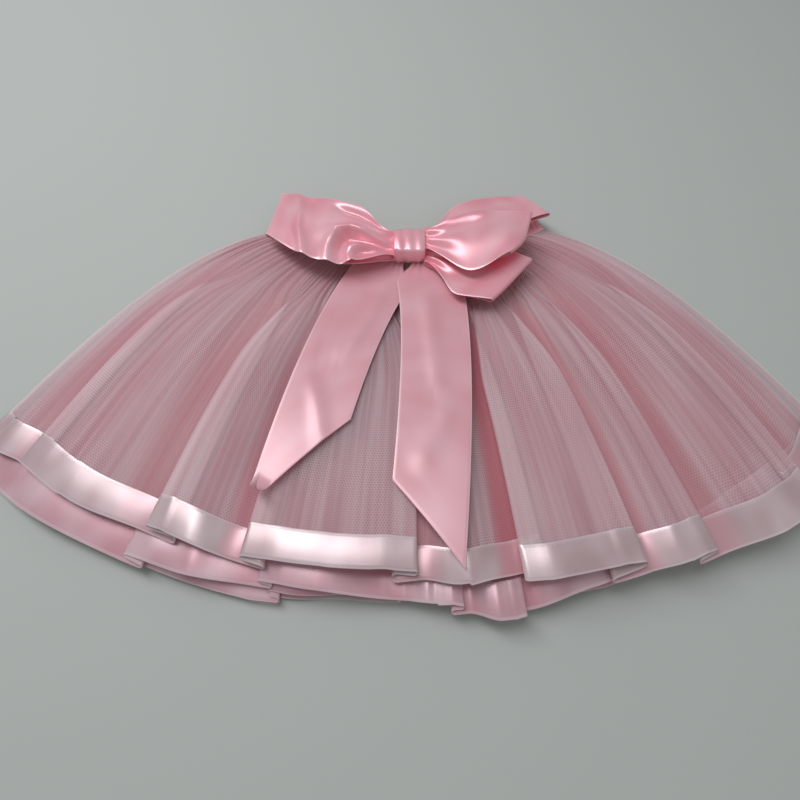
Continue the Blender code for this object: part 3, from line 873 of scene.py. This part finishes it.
LOOPS = [
    Loop("left", 160, 0.096, (-0.0142, 0.000), (0.46, 1.00, 0.88),
         (0.0235, 0.0270, 0.0184), (0.0030, 0.0052, 0.0022), 0.0033, -0.004, -0.002,
         0.36, 0.008, 0.000, False, LEFT_CREASES),
    Loop("right_back", 22, 0.092, (0.0142, 0.0072), (0.22, 0.74, 0.48),
         (0.0180, 0.0180, 0.0180), (0.0016, 0.0028, 0.0020), -0.0060, 0.004, 0.000,
         0.42, 0.000, 0.000, False, BACK_CREASES),
    Loop("right_low", -24.5, 0.066, (0.0142, -0.0068), (0.24, 1.00, 0.94),
         (0.0195, 0.0260, 0.0290), (0.0016, 0.0028, 0.0020), 0.0063, 0.000, -0.001,
         0.60, 0.004, 0.002, True, LOW_CREASES),
    Loop("right_front", -3, 0.071, (0.0142, 0.0040), (0.40, 0.96, 0.84),
         (0.0256, 0.0322, 0.0386), (0.0024, 0.0044, 0.0022), 0.0049, -0.002, -0.003,
         0.50, 0.009, 0.012, False, FRONT_CREASES),
]
KNOT_SIZE = Vector((0.0235, 0.0240, 0.0178))
KNOT_IN = 0.0034  # how far the loops reach into the knot
KNOT_PLACE = Vector((0, 0.001))
KNOT_BASE = 0.0146  # how high its underside is
LOOP_STEPS, TURN_STEPS, LOOP_COLUMNS = 40, 14, 32
SATIN_WALL = 0.0005
PINCH_LIFT = 0.0015
# painted shade: a deeper pink in a loop's lower half and near the knot
UNDER_SHADE, KNOT_SHADE = 0.7, 0.35  # how deep the pink is in the lower half, and near the knot


def loop_shade(loop, share, half, q):
    """How much painted shade, a deeper pink, a point of a loop gets where other ribbon shades it,
    from 0 to 1.
    """
    if half < 0:
        shade = UNDER_SHADE * (1 - ease(0.90, 1.0, share))
    else:
        shade = KNOT_SHADE * (1 - ease(0, 0.30, share))
    if loop.covered:
        over = ease(-0.35, 0.30, q) * ease(0.05, 0.30, share) * (1 - ease(0.70, 0.95, share))
        shade = max(shade, over)
    return shade


def loop_path(loop):
    """Places along a loop's ribbon: how far out, as a share, and which half, from -1 to 1."""
    fullest = 1 - loop.openings[2] / loop.length
    out = [(fullest * step / LOOP_STEPS, -1.0) for step in range(LOOP_STEPS)]
    end = []
    for step in range(TURN_STEPS + 1):
        angle = math.pi * (step / TURN_STEPS - 0.5)
        end.append((fullest + (1 - fullest) * math.cos(angle), math.sin(angle)))
    return out + end + [(share, 1.0) for share, _ in reversed(out)]


def make_loop(loop):
    """A loop of ribbon: spot counts the places of its path, q runs over its width from -1 to 1."""
    path = loop_path(loop)
    angle = math.radians(loop.angle)
    away = Vector((math.cos(angle), math.sin(angle)))
    beside = Vector((-away.y, away.x)) * (1 if away.x > 0 else -1)

    def place(spot, q):
        share, half = path[spot]
        first, fullest, last = loop.widths
        out = share * (loop.length + loop.slant * q)
        spread = ease(0, loop.spread, share)
        wide = first + (fullest - first) * spread + (last - fullest) * ease(0.5, 1, share)
        side = Vector((0, 1)).lerp(beside, spread)
        flat = KNOT_PLACE + Vector(loop.root) + away * out + side * q * wide * RIBBON_WIDTH / 2
        flat.x -= math.copysign(KNOT_IN * (1 - share) ** 2, flat.x)
        flat += beside * loop.bend * 4 * share * (1 - share)
        belly = loop.belly if half > -0.5 else 0.0
        flat -= beside * belly * max(-q, 0) ** 2 * math.sin(math.pi * share)
        flat -= away * loop.rounding * max(-q - 0.2, 0) ** 2 * ease(0.4, 1, share)
        height = between(loop.heights, share) + half * between(loop.openings, share)
        pinch = math.cos(math.pi * (2.6 * q + 0.5 * half + 1.2 * share)) * (1 - ease(0, 0.5, share))
        height += PINCH_LIFT * pinch * ease(0, 0.05, share)
        height += loop.roll * q * ease(0, 1, share)
        if half > 0:
            ends = ease(0, 0.12, share) * (1 - ease(0.93, 1.0, share))
            height += crease_lift(loop.creases, Vector((out, q * RIBBON_WIDTH / 2 * wide))) * ends
        return Vector((*flat, height, loop_shade(loop, share, half, q)))

    columns = range(len(path))
    rows = edge_to_edge(LOOP_COLUMNS)
    made, wide, long = cloth(f"bow_{loop.name}_loop", place, columns, rows, LOOP_SATIN,
                             even_row=LOOP_COLUMNS // 2, wall=SATIN_WALL, ribbon="rows")
    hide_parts(f"bow_loop_{loop.name}")


for loop in LOOPS:
    make_loop(loop)

# %% [markdown]
# ## The knot
# A short ribbon is wrapped once round the bow's middle and sewn behind. It could be a bent strip,
# but only its outside shows, so it is a closed band of rings. Small pleats run round it.

# %% Knot
KNOT_SIDES, KNOT_RINGS = 48, 22
KNOT_BODY, KNOT_BULGE, KNOT_PLEAT = 0.88, 0.10, 0.030  # shares of the knot's full size
KNOT_SQUARE = -0.55  # how square it is seen from its end: 0 is round and -1 is square
KNOT_FIT = 2.06  # a little over 2, so that the bulge stays inside the full size


def make_knot():
    """A closed band of rings with soft pleats round it."""
    bm = bmesh.new()
    middle = Vector((*WAIST_MIDDLE, 0)) + Vector((*KNOT_PLACE, KNOT_BASE + KNOT_SIZE.z / 2))
    rings = []
    for ring in range(KNOT_RINGS + 1):
        across = 2 * ring / KNOT_RINGS - 1
        loop = []
        for side in range(KNOT_SIDES):
            angle = 2 * math.pi * side / KNOT_SIDES
            pleat = math.cos(3 * math.pi * across + 0.5 * math.sin(2 * angle))
            size = KNOT_BODY + KNOT_BULGE * (1 - abs(across) ** 3) + KNOT_PLEAT * pleat
            corner = max(abs(math.cos(angle)), abs(math.sin(angle))) ** KNOT_SQUARE
            spot = Vector((across * KNOT_SIZE.x / 2,
                           math.cos(angle) * corner * size * KNOT_SIZE.y / KNOT_FIT,
                           math.sin(angle) * corner * size * KNOT_SIZE.z / KNOT_FIT))
            loop.append(bm.verts.new(middle + spot))
        rings.append([bm.edges.new((loop[side], loop[(side + 1) % KNOT_SIDES]))
                      for side in range(KNOT_SIDES)])
    for first, second in zip(rings, rings[1:]):
        bmesh.ops.bridge_loops(bm, edges=first + second)
    bmesh.ops.holes_fill(bm, edges=bm.edges, sides=KNOT_SIDES)
    bmesh.ops.recalc_face_normals(bm, faces=bm.faces)
    uv = bm.loops.layers.uv.new("cloth")
    for face in bm.faces:
        face.smooth = True
        for corner in face.loops:
            spot = corner.vert.co - middle
            corner[uv].uv = (math.atan2(spot.z, spot.y) * KNOT_SIZE.y / 2,
                             spot.x + RIBBON_WIDTH / 2)
    knot = new_object("bow_knot_wrap", bm, LOOP_SATIN)
    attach(knot, "root")
    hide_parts("bow_knot")


make_knot()

# %% [markdown]
# ## The tails
# The two tails leave the knot pinched, spread to the ribbon's full width and lie along the front
# panel. Their ends are cut on a slant so that they fray less.

# %% Tails
Tail = namedtuple("Tail", "name root turn end cut above curl creases")
# where it leaves the knot, where it turns and where it ends, how far the slant of its end reaches,
# how far it is held up at the knot, where its tip starts to curl up, if it does, and its creases
CURL_WAY = Vector((-0.55, -0.84)).normalized()
CURL_RADIUS = 0.0080

TAILS = [
    Tail("left", (-0.009, -0.004), (-0.040, -0.038), (-0.0705, -0.169), 0.037, 0.0,
         (-0.0880, -0.1825), [
        Crease(0.0050, 0.0012, [(0.010, 0.006), (0.060, 0.010), (0.110, 0.004)]),
        Crease(0.0060, -0.0010, [(0.020, -0.008), (0.080, -0.010), (0.140, -0.002)]),
        Crease(0.0050, 0.0012, [(0.110, -0.012), (0.140, 0.002), (0.170, 0.014)]),
    ]),
    Tail("right", (0.009, -0.004), (0.026, -0.048), (0.010, -0.2075), -0.0245, 0.0016, None, [
        Crease(0.0060, 0.0014, [(0.020, -0.006), (0.080, -0.002), (0.130, 0.004)]),
        Crease(0.0080, 0.0012, [(0.120, 0.012), (0.150, 0.000), (0.180, -0.012)]),
    ]),
]
TAIL_COLUMNS, TAIL_ROWS = 24, 90
SEAM_GAP = 0.0004
TAIL_START = 0.010  # rounds the step where a tail comes down from the knot on to the net
TAIL_PINCHED, TAIL_SPREADS = 0.30, 0.70  # its width at the knot, and what it gains, as shares
TAIL_PLEAT = 0.0007
TAIL_DIP = -0.0006  # the deepest that its creases may press it down


def make_tail(tail):
    """A tail of ribbon: q runs over its width from -1 to 1, and share down it."""
    root, turn, end = Vector(tail.root), Vector(tail.turn), Vector(tail.end)
    pace = 2 * (end - turn).length

    def place(q, share):
        along = share * (1 - q * tail.cut / pace * share)
        line = root * (1 - along) ** 2 + turn * 2 * along * (1 - along) + end * along ** 2
        way = ((turn - root) * (1 - along) + (end - turn) * along).normalized()
        spread = ease(0, 0.20, along)
        width = RIBBON_WIDTH / 2 * (TAIL_PINCHED + TAIL_SPREADS * spread)
        flat = line + Vector((-way.y, way.x)) * q * width + KNOT_PLACE
        across, run = fan_place(flat)
        run_soft = math.hypot(run, TAIL_START)
        lying = top_of(len(PANELS), across, run_soft) + CLOTH_WALL / 2 + SEAM_GAP
        lying += tail.above * (1 - ease(0.30, 0.55, along))
        pleats = TAIL_PLEAT * math.cos(5 * math.pi * q) * (1 - spread) * ease(0, 0.04, along)
        lying += pleats + max(crease_lift(tail.creases, Vector((run, q * width))), TAIL_DIP)
        past = (flat - Vector(tail.curl)).dot(CURL_WAY) if tail.curl else 0.0
        if past > 0:
            turned = past / CURL_RADIUS
            flat += CURL_WAY * (math.sin(turned) * CURL_RADIUS - past)
            lying += CURL_RADIUS * (1 - math.cos(turned))
        return Vector((*flat, lying))

    columns = edge_to_edge(TAIL_COLUMNS)
    rows = [step / TAIL_ROWS for step in range(TAIL_ROWS + 1)]
    made, wide, long = cloth(f"bow_{tail.name}_tail", place, columns, rows, TAIL_SATIN,
                             wall=SATIN_WALL, ribbon="columns")
    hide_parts(f"bow_tail_{tail.name}")


for tail in TAILS:
    make_tail(tail)
